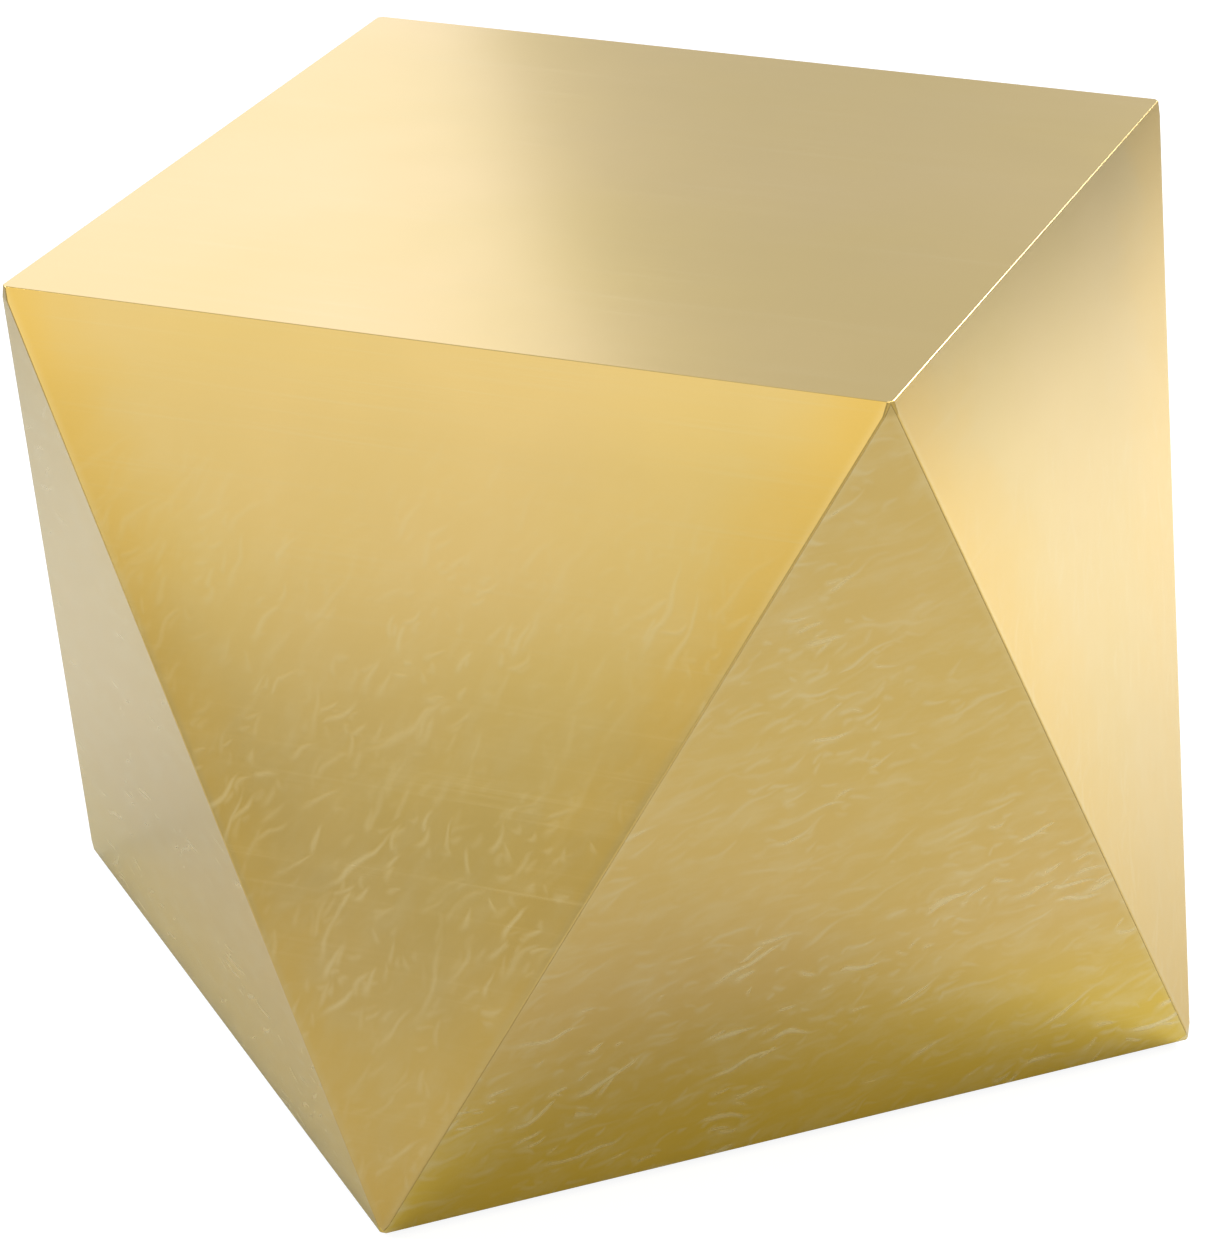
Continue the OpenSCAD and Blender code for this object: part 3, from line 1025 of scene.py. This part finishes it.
@dataclass
class Skin:
    """The nine gold sheets that make the outside of the body.

    Attributes:
        side: Edge of the top and base squares between sharp corners.
        base_z: Level of the base's edges.
        top_z: Level of the top.
        thickness: Thickness of the sheets.
        corner_reach: Distance of the ground corners from the axis.
        edge_round: How far the rounding of an edge reaches along each face.
        round_steps: Facets across a rounded edge. An odd number leaves one to split at a weld.
        seam_gap: Width of a hairline seam.
        seam_lip: Rounding of the two lips of a seam.
    """

    side: float
    base_z: float
    top_z: float
    thickness: float
    corner_reach: float
    edge_round: float = 0.55 * MM
    round_steps: int = 5
    seam_gap: float = 0.14 * MM
    seam_lip: float = 0.15 * MM

    @classmethod
    def from_frame(cls) -> "Skin":
        """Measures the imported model.

        Returns:
            The skin at the model's own size.
        """
        low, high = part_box("top_panel")
        standing_low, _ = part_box("standing_panel_front_right")
        _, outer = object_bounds()
        return cls(
            side=high.x - low.x,
            base_z=standing_low.z,
            top_z=high.z,
            thickness=high.z - low.z,
            corner_reach=outer[0],
        )

    @property
    def corner_radius(self) -> float:
        """Distance of the sharp corners from the axis."""
        return self.side / math.sqrt(2.0)

    @property
    def lean(self) -> float:
        """Angle of the side faces from upright, in radians."""
        return math.atan((self.corner_radius - self.side / 2) / (self.top_z - self.base_z))

    def hanging(self, angle: float) -> Face:
        """Gives the face that hangs from the top's edge at this compass angle."""
        reach = self.side / 2 * math.cos(self.lean) + self.top_z * math.sin(self.lean)
        return Face(direction(angle, self.lean), reach)

    def standing(self, angle: float) -> Face:
        """Gives the face that stands on the base's edge at this compass angle."""
        reach = self.side / 2 * math.cos(self.lean) - self.base_z * math.sin(self.lean)
        return Face(direction(angle, -self.lean), reach)

    def seam(self, hanging_angle: float, standing_angle: float) -> Face:
        """Gives the plane in the middle of a side seam, facing the standing panel.

        The plane is square to the standing panel and runs beside the edge's rounding.

        Args:
            hanging_angle: Compass angle of the hanging panel.
            standing_angle: Compass angle of the standing panel.

        Returns:
            The plane.
        """
        standing = self.standing(standing_angle).normal
        top = direction(standing_angle) * self.corner_radius + Vector((0, 0, self.top_z))
        base = direction(hanging_angle) * self.corner_radius + Vector((0, 0, self.base_z))
        across = standing.cross((top - base).normalized())
        if across.dot(direction(standing_angle) - direction(hanging_angle)) < 0:
            across = -across
        return Face(across, across.dot(base) + self.edge_round + self.seam_lip + self.seam_gap / 2)

    def body(self) -> bmesh.types.BMesh:
        """Cuts the whole body from a block and rounds all its edges.

        Returns:
            The solid body.
        """
        bm = bmesh.new()
        bmesh.ops.create_cube(bm, size=4 * self.side)
        trim(bm, Face(Vector((0, 0, 1)), self.top_z))
        trim(bm, Face(Vector((0, 0, -1)), -self.base_z))
        for quarter in range(4):
            trim(bm, self.hanging(90.0 * quarter))
            trim(bm, self.standing(45.0 + 90.0 * quarter))
        for eighth in range(8):
            trim(bm, Face(direction(45.0 * eighth), self.corner_reach))
        bmesh.ops.remove_doubles(bm, verts=bm.verts[:], dist=NEAR_POINT)
        rounded(bm, bm.edges[:], self.edge_round, self.round_steps)
        return bm

    def cuts(self, kind: Panel, angle: float) -> list[Face]:
        """Gives the planes that part a panel from its neighbours.

        Args:
            kind: The kind of panel.
            angle: Its compass angle.

        Returns:
            The planes, facing away from the panel.
        """
        top = Face(Vector((0, 0, 1)), self.top_z)
        if kind is Panel.TOP:
            return [self.mitre(top, self.hanging(90.0 * quarter)) for quarter in range(4)]
        half = self.seam_gap / 2
        if kind is Panel.STANDING:
            sides = (angle - 45.0, angle + 45.0)
            return [self.seam(side, angle).shifted(half).flipped() for side in sides]
        sides = (angle - 45.0, angle + 45.0)
        seams = [self.seam(angle, side).shifted(-half) for side in sides]
        corners = [Face(direction(angle + turn), 0.0) for turn in (-135.0, 135.0)]
        return [self.mitre(self.hanging(angle), top), *seams, *corners]

    @staticmethod
    def mitre(a: Face, b: Face) -> Face:
        """Gives the plane halfway between two faces, facing away from the first.

        Args:
            a: The face that is kept.
            b: Its neighbour.

        Returns:
            The plane.
        """
        across = b.normal - a.normal
        return Face(across.normalized(), (b.distance - a.distance) / across.length)

    def panel(self, kind: Panel, angle: float, number: int) -> bmesh.types.BMesh:
        """Cuts one sheet out of the body.

        Args:
            kind: The kind of panel.
            angle: Its compass angle.
            number: A number that gives its grain its own place in the pattern.

        Returns:
            The sheet's mesh.
        """
        outer = {
            Panel.TOP: Face(Vector((0, 0, 1)), self.top_z),
            Panel.HANGING: self.hanging(angle),
            Panel.STANDING: self.standing(angle),
        }[kind]
        bm = self.body()
        trim(bm, outer.shifted(-self.thickness).flipped())
        cuts = self.cuts(kind, angle)
        for cut in cuts:
            trim(bm, cut)
        bmesh.ops.remove_doubles(bm, verts=bm.verts[:], dist=ONE_POINT)
        self.round_lips(bm, outer, cuts, kind)
        self.mark(bm, outer, kind, angle, number)
        return bm

    def round_lips(
        self, bm: bmesh.types.BMesh, outer: Face, cuts: list[Face], kind: Panel
    ) -> None:
        """Rounds the outer lips of a panel's hairline seams.

        Args:
            bm: The sheet's mesh.
            outer: Its outer face.
            cuts: The planes that parted it from its neighbours.
            kind: The kind of panel.
        """
        if kind is Panel.TOP:
            return
        seams = cuts if kind is Panel.STANDING else cuts[1:3]
        lips = []
        for seam in seams:
            for edge in bm.edges:
                on_seam = all(abs(seam.height(v.co)) < NEAR_POINT for v in edge.verts)
                outside = all(outer.height(v.co) > -self.thickness * 0.93 for v in edge.verts)
                if on_seam and outside and edge.calc_length() > SHORT_EDGE:
                    lips.append(edge)
        if lips:
            rounded(bm, lips, self.seam_lip, 3, clamp=True)

    def mark(
        self, bm: bmesh.types.BMesh, outer: Face, kind: Panel, angle: float, number: int
    ) -> None:
        """Lays the grain map, and marks the distance from each edge and the strength of the painted
        reflection of floor veins.

        Args:
            bm: The sheet's mesh.
            outer: Its outer face.
            kind: The kind of panel.
            angle: Its compass angle.
            number: A number that gives its grain its own place in the pattern.
        """
        level = Vector((1, 0, 0)) if kind is Panel.TOP else direction(angle + 90.0)
        flat = [f for f in bm.faces if f.normal.dot(outer.normal) > 0.99999]
        face = max(flat, key=lambda f: f.calc_area())
        middle = face.calc_center_median()
        sides = {}
        for edge in face.edges:
            if edge.calc_length() < SHORT_EDGE or kind is Panel.TOP:
                continue
            start, end = edge.verts[0].co, edge.verts[1].co
            across = (end - start).cross(outer.normal).normalized()
            if across.dot(start - middle) < 0:
                across = -across
            turn = across.dot(level)
            mark = Mark.FROM_LEVEL
            if abs(turn) > 0.5:
                mark = Mark.FROM_RIGHT if turn > 0 else Mark.FROM_LEFT
            sides[mark] = Face(across, across.dot(start))
        layers = {mark: bm.verts.layers.float.new(mark.value) for mark in Mark}
        amount, stroke_turn = self.buffing(kind, angle)
        fixed = {
            Mark.BUFFING: amount,
            Mark.STROKE_ANGLE: stroke_turn,
            Mark.FADE: 1.0 if kind is Panel.HANGING else 0.0,
            Mark.CROWN: 1.8 if kind is Panel.HANGING and angle == 0.0 else 1.0,
        }
        for vert in bm.verts:
            for mark, layer in layers.items():
                if mark in fixed:
                    vert[layer] = fixed[mark]
                else:
                    vert[layer] = -sides[mark].height(vert.co) if mark in sides else 1.0
        upward = outer.normal.cross(level)
        grain = bm.loops.layers.uv.new(GRAIN_MAP)
        for face in bm.faces:
            face.smooth = True
            for loop in face.loops:
                along = loop.vert.co.dot(level) + 3.0 * number
                up = loop.vert.co.dot(upward)
                loop[grain].uv = (along, up)
        for edge in bm.edges:
            if len(edge.link_faces) == 2 and edge.calc_face_angle(0.0) > math.radians(35.0):
                edge.smooth = False

    @staticmethod
    def buffing(kind: Panel, angle: float) -> tuple[float, float]:
        """Gives how strong the painted reflection of floor veins is on a panel, and the angle of
        its strokes.

        Args:
            kind: The kind of panel.
            angle: Its compass angle.

        Returns:
            The amount from 0 to 1, and the angle in radians.
        """
        if kind is Panel.STANDING:
            return 1.0, math.radians(-14.0)
        if kind is Panel.TOP:
            return 0.0, 0.0
        facing_front = 0.5 - 0.5 * math.sin(math.radians(angle))
        return 0.1 + 0.4 * facing_front, math.radians(-58.0)

    def build(self, gold: bpy.types.Material) -> None:
        """Builds the nine sheets.

        Args:
            gold: Their finish.
        """
        plan = [("top_panel", Panel.TOP, 0.0)]
        for quarter, name in enumerate(SQUARE_NAMES):
            plan.append((f"hanging_panel_{name}", Panel.HANGING, 90.0 * quarter))
        for quarter, name in enumerate(BETWEEN_NAMES):
            plan.append((f"standing_panel_{name}", Panel.STANDING, 45.0 + 90.0 * quarter))
        for number, (node, kind, angle) in enumerate(plan):
            sheet = to_object(
                self.panel(kind, angle, number), f"{node}_sheet", Body.TABLE.value, gold
            )
            normals = sheet.modifiers.new("level_faces", "WEIGHTED_NORMAL")
            normals.mode = "FACE_AREA"
            normals.weight = 100
            normals.keep_sharp = True
            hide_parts(node)


@dataclass
class LevellingFoot:
    """A levelling foot: a threaded stud in a ribbed nylon pad.

    Attributes:
        place: Name of the corner that it stands under.
        pad_ribs: Grip ribs around the pad.
        thread_pitch: Pitch of the stud's thread.
        thread_depth: Depth of the thread.
        turn_steps: Steps in each turn of the thread.
        stud_radius: Radius over the thread.
        head_height: Height of the stud's head.
        collar: Radius of the pad's hollow around the head.
    """

    place: str
    pad_ribs: int = 36
    thread_pitch: float = 1.25 * MM
    thread_depth: float = 0.6 * MM
    turn_steps: int = 32
    stud_radius: float = 4.0 * MM
    head_height: float = 3.0 * MM
    collar: float = 8.2 * MM

    def centre(self) -> Vector:
        """Gives the point on the floor under the foot's axis."""
        low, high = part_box(f"foot_pad_{self.place}")
        return Vector(((low.x + high.x) / 2, (low.y + high.y) / 2, low.z))

    def pad(self) -> bmesh.types.BMesh:
        """Turns the pad and nips in grip ribs around it.

        Returns:
            The pad's mesh.
        """
        low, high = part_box(f"foot_pad_{self.place}")
        radius = (high.x - low.x) / 2
        height = high.z - low.z
        _, head_top = self.head_levels()
        collar = self.collar
        profile = [
            (0.0, 0.6 * MM),
            (radius * 0.55, 0.6 * MM),
            (radius * 0.6, 0.0),
            (radius - 1.2 * MM, 0.0),
            (radius - 0.35 * MM, 0.35 * MM),
            (radius, 1.2 * MM),
            (radius, height - 1.3 * MM),
            (radius - 0.4 * MM, height - 0.5 * MM),
            (radius - 1.3 * MM, height - 0.15 * MM),
            (radius - 3.0 * MM, height - 0.15 * MM),
            (collar + 0.6 * MM, height),
            (collar, height),
            (collar - 0.3 * MM, height - 0.3 * MM),
            (collar - 0.3 * MM, min(height, head_top) - 1.0 * MM),
            (0.0, min(height, head_top) - 1.0 * MM),
        ]
        bm = bmesh.new()
        verts = [bm.verts.new((x, 0.0, z)) for x, z in profile]
        edges = [bm.edges.new(pair) for pair in zip(verts, verts[1:])]
        bmesh.ops.spin(
            bm,
            geom=verts + edges,
            cent=(0, 0, 0),
            axis=(0, 0, 1),
            angle=math.tau,
            steps=self.pad_ribs * 4,
            use_merge=True,
        )
        bmesh.ops.remove_doubles(bm, verts=bm.verts[:], dist=NEAR_POINT)
        for vert in bm.verts:
            reach = math.hypot(vert.co.x, vert.co.y)
            if reach > radius - 0.1 * MM:
                wave = math.cos(math.atan2(vert.co.y, vert.co.x) * self.pad_ribs)
                shrink = (reach - 0.35 * MM * (0.5 - 0.5 * wave)) / reach
                vert.co.x *= shrink
                vert.co.y *= shrink
        bmesh.ops.recalc_face_normals(bm, faces=bm.faces[:])
        bmesh.ops.translate(bm, verts=bm.verts[:], vec=self.centre())
        for face in bm.faces:
            face.smooth = True
        return bm

    def head_levels(self) -> tuple[float, float]:
        """Gives the levels of the underside and top of the stud's hexagon head."""
        low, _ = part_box(f"foot_stud_{self.place}")
        return low.z, low.z + self.head_height

    def stud(self) -> bmesh.types.BMesh:
        """Winds the stud's thread around its core and sets it on its hexagon head.

        Returns:
            The stud's mesh.
        """
        low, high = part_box(f"foot_stud_{self.place}")
        under, head_top = self.head_levels()
        radius = self.stud_radius
        across = min(high.x - low.x, high.y - low.y)
        bm = bmesh.new()
        bmesh.ops.create_cone(
            bm,
            cap_ends=True,
            segments=6,
            radius1=across / math.sqrt(3.0),
            radius2=across / math.sqrt(3.0),
            depth=head_top - under,
            matrix=Matrix.Translation((0, 0, (head_top + under) / 2)),
        )
        rims = [e for e in bm.edges if abs(e.verts[0].co.z - e.verts[1].co.z) < ONE_POINT]
        rounded(bm, rims, 0.4 * MM, 2)
        length = high.z - head_top
        turns = (length - 1.5 * self.thread_pitch) / self.thread_pitch
        root = radius - self.thread_depth
        sunk = root - 0.1 * MM
        tooth = [
            (sunk, self.thread_pitch * 0.06),
            (radius, self.thread_pitch * 0.42),
            (radius, self.thread_pitch * 0.58),
            (sunk, self.thread_pitch * 0.94),
        ]
        thread = bmesh.new()
        end = thread.faces.new([thread.verts.new((x, 0.0, z)) for x, z in tooth])
        steps = int(turns * self.turn_steps)
        bmesh.ops.spin(
            thread,
            geom=[end, *end.edges, *end.verts],
            cent=(0, 0, 0),
            axis=(0, 0, 1),
            dvec=(0, 0, self.thread_pitch / self.turn_steps),
            angle=math.tau * steps / self.turn_steps,
            steps=steps,
        )
        bmesh.ops.recalc_face_normals(thread, faces=thread.faces[:])
        bmesh.ops.translate(thread, verts=thread.verts[:], vec=(0, 0, head_top))
        for face in thread.faces:
            face.smooth = True
        rod = bmesh.new()
        bmesh.ops.create_cone(
            rod,
            cap_ends=True,
            segments=self.turn_steps,
            radius1=root + 0.05 * MM,
            radius2=root + 0.05 * MM,
            depth=length,
            matrix=Matrix.Translation((0, 0, head_top + length / 2)),
        )
        tips = [e for e in rod.edges if all(v.co.z > high.z - NEAR_POINT for v in e.verts)]
        rounded(rod, tips, 0.5 * MM, 2)
        for part in (thread, rod):
            scratch = bpy.data.meshes.new("scratch")
            part.to_mesh(scratch)
            part.free()
            bm.from_mesh(scratch)
            bpy.data.meshes.remove(scratch)
        centre = self.centre()
        bmesh.ops.translate(bm, verts=bm.verts[:], vec=(centre.x, centre.y, 0.0))
        return bm

    def build(self, nylon: bpy.types.Material, zinc: bpy.types.Material) -> None:
        """Builds the pad and the stud.

        Args:
            nylon: The pad's finish.
            zinc: The stud's finish.
        """
        body = Body.FOOT.value + self.place
        pad = to_object(self.pad(), f"foot_pad_{self.place}_ribbed", body, nylon)
        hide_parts(f"foot_pad_{self.place}")
        stud = to_object(self.stud(), f"foot_stud_{self.place}_threaded", body, zinc)
        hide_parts(f"foot_stud_{self.place}")


@dataclass
class Carcass:
    """The pieces inside the skin and under it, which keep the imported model's shapes.

    Attributes:
        nodes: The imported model's nodes by name.
    """

    nodes: dict[str, bpy.types.Object]

    def dress(self, finishes: dict[str, bpy.types.Material]) -> None:
        """Gives each piece the finish of its kind.

        Args:
            finishes: Start of the node's name to its finish.
        """
        for name, node in self.nodes.items():
            for prefix, finish in finishes.items():
                if name.startswith(prefix):
                    for slot in node.material_slots:
                        slot.material = finish
                    LOG.info("%s: %s", name, finish.name)


# ---------------------------------------------------------------------------
# Studio
# ---------------------------------------------------------------------------


class Tint(Enum):
    """The two whites of the studio's lights."""

    COOL = (0.84, 0.86, 1.0)
    WARM = (1.0, 0.95, 0.8)


@dataclass(frozen=True)
class Softbox:
    """A rectangular studio light aimed at a point.

    Attributes:
        name: The light's name.
        azimuth: Compass angle of the light from the table, in degrees.
        elevation: Its angle above the floor, in degrees.
        distance: Its distance from the table.
        size: Its width and height.
        power: Its power, in watts.
        tint: Its white.
        down: Whether it hangs facing the floor, not the table.
    """

    name: str
    azimuth: float
    elevation: float
    distance: float
    size: tuple[float, float]
    power: float
    tint: Tint = Tint.COOL
    down: bool = False

    def build(self, aim: Vector) -> bpy.types.Object:
        """Hangs the light.

        Args:
            aim: The point that it faces.

        Returns:
            The light's object.
        """
        lamp = bpy.data.lights.new(self.name, "AREA")
        lamp.shape = "RECTANGLE"
        lamp.size, lamp.size_y = self.size
        lamp.energy = self.power
        lamp.color = self.tint.value
        holder = linked(self.name, lamp)
        outward = direction(self.azimuth, math.radians(self.elevation))
        holder.location = aim + outward * self.distance
        if not self.down:
            holder.rotation_euler = outward.to_track_quat("Z", "Y").to_euler()
        holder.visible_camera = False
        return holder


@dataclass
class Studio:
    """A plain pale floor, soft lights and the camera.

    Attributes:
        aim: The point on the table that the lights and the camera face.
        azimuth: Compass angle of the camera's view from +Y, in degrees.
        elevation: Its angle above the floor, in degrees.
        distance: Its distance from the aim.
        roll: Its turn about its own line of sight, in degrees.
        lens: Its focal length, in millimetres.
        floor_radius: Radius of the floor.
        room: Colour of the room's own light.
        floor_tone: How much light the floor throws back at the table.
        floor_glow: How bright the floor is to the camera before any light falls on it.
    """

    aim: Vector = field(default_factory=lambda: Vector((0.0, -0.01, 0.2)))
    azimuth: float = 21.7
    elevation: float = 24.7
    distance: float = 2.5
    roll: float = -0.9
    lens: float = 139.0
    floor_radius: float = 9.0
    room: tuple[float, float, float] = (0.6, 0.6, 0.55)
    floor_tone: tuple[float, float, float] = (0.42, 0.41, 0.34)
    floor_glow: float = 0.9
    softboxes: tuple[Softbox, ...] = (
        Softbox("key", 143.0, 30.0, 2.0, (2.0, 1.5), 6.5, Tint.COOL),
        Softbox("back", 55.0, 40.0, 1.6, (1.2, 1.2), 45.0, Tint.COOL, down=True),
        Softbox("left", 205.0, 30.0, 1.2, (0.6, 0.6), 10.0, Tint.COOL),
        Softbox("front_left", 250.0, 20.0, 2.0, (1.5, 1.5), 3.0, Tint.WARM),
        Softbox("front_right", 320.0, 35.0, 2.2, (1.5, 1.5), 12.0, Tint.WARM),
    )

    def camera(self) -> bpy.types.Object:
        """Sets up the camera.

        Returns:
            The camera's object.
        """
        lens = bpy.data.cameras.new("camera")
        lens.lens = self.lens
        lens.sensor_width = 36.0
        lens.clip_start = 0.05
        lens.clip_end = 60.0
        holder = linked("camera", lens)
        outward = direction(self.azimuth - 90.0, math.radians(self.elevation))
        holder.location = self.aim + outward * self.distance
        facing = outward.to_track_quat("Z", "Y").to_matrix()
        roll = Matrix.Rotation(math.radians(self.roll), 3, "Z")
        holder.rotation_euler = (facing @ roll).to_euler()
        bpy.context.scene.camera = holder
        return holder

    def floor(self) -> bpy.types.Object:
        """Lays the floor, which is nearly white to the camera and mid-toned to the metal.

        Returns:
            The floor's object.
        """
        bm = bmesh.new()
        bmesh.ops.create_circle(bm, cap_ends=True, segments=96, radius=self.floor_radius)
        mesh = bpy.data.meshes.new("floor")
        bm.to_mesh(mesh)
        bm.free()
        floor = linked("floor", mesh)
        material = bpy.data.materials.new("pale_floor")
        material.use_nodes = True
        material.node_tree.nodes.clear()
        graph = Graph(material.node_tree)
        rays = graph.node("LightPath")
        matt = graph.node("BsdfDiffuse")
        shade = graph.tint(
            rays.outputs["Is Camera Ray"], self.floor_tone, (0.2, 0.2, 0.2, 1.0)
        )
        graph.plug(shade, matt.inputs["Color"])
        glow = graph.node("Emission")
        glow.inputs["Color"].default_value = (1.0, 1.0, 1.0, 1.0)
        graph.plug(
            graph.times(rays.outputs["Is Camera Ray"], self.floor_glow),
            glow.inputs["Strength"],
        )
        both = graph.node("AddShader")
        graph.plug(matt.outputs["BSDF"], both.inputs[0])
        graph.plug(glow.outputs["Emission"], both.inputs[1])
        output = graph.node("OutputMaterial")
        graph.plug(both.outputs["Shader"], output.inputs["Surface"])
        mesh.materials.append(material)
        floor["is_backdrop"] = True
        return floor

    def world(self) -> None:
        """Lights the room softly from all around."""
        world = bpy.data.worlds.new("studio")
        bpy.context.scene.world = world
        world.use_nodes = True
        world.node_tree.nodes.clear()
        graph = Graph(world.node_tree)
        rays = graph.node("LightPath")
        sky = graph.node("Background")
        shade = graph.tint(rays.outputs["Is Camera Ray"], self.room, (1.0, 1.0, 1.0, 1.0))
        graph.plug(shade, sky.inputs["Color"])
        output = graph.node("OutputWorld")
        graph.plug(sky.outputs["Background"], output.inputs["Surface"])

    def build(self) -> None:
        """Builds the whole studio."""
        self.camera()
        self.floor()
        self.world()
        for softbox in self.softboxes:
            softbox.build(self.aim)
        scene = bpy.context.scene
        scene.view_settings.view_transform = "Standard"
        scene.view_settings.look = "None"
        LOG.info("studio: %d lights", len(self.softboxes))


def main() -> None:
    """Builds the table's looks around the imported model."""
    logging.basicConfig(level=logging.INFO, format="%(name)s: %(message)s")
    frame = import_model()
    groups = GroupLibrary()
    gold = GoldSheet("satin_gold").make(groups)
    steel = BareMetal("worn_mill_steel").make(groups)
    zinc = BareMetal(
        "bright_zinc_plate", (0.62, 0.64, 0.66), (0.46, 0.47, 0.47), roughness=0.27, grain=0.00001
    ).make(groups)
    coat = PowderCoat("black_powder_coat").make(groups)
    nylon = MouldedNylon("moulded_nylon").make(groups)
    plywood = Plywood("birch_plywood").make(groups)
    Skin.from_frame().build(gold)
    for place in SQUARE_NAMES:
        LevellingFoot(place).build(nylon, zinc)
    Carcass(frame["nodes"]).dress(
        {
            "seam_angle": steel,
            "top_rail": steel,
            "base_rail": steel,
            "corner_bracket": steel,
            "top_deck": plywood,
            "base_plate": coat,
            "deck_screws": zinc,
            "base_screws": zinc,
            "clinch_nuts": zinc,
            "foot_nuts": zinc,
        }
    )
    Studio().build()


if __name__ == "__main__":
    main()
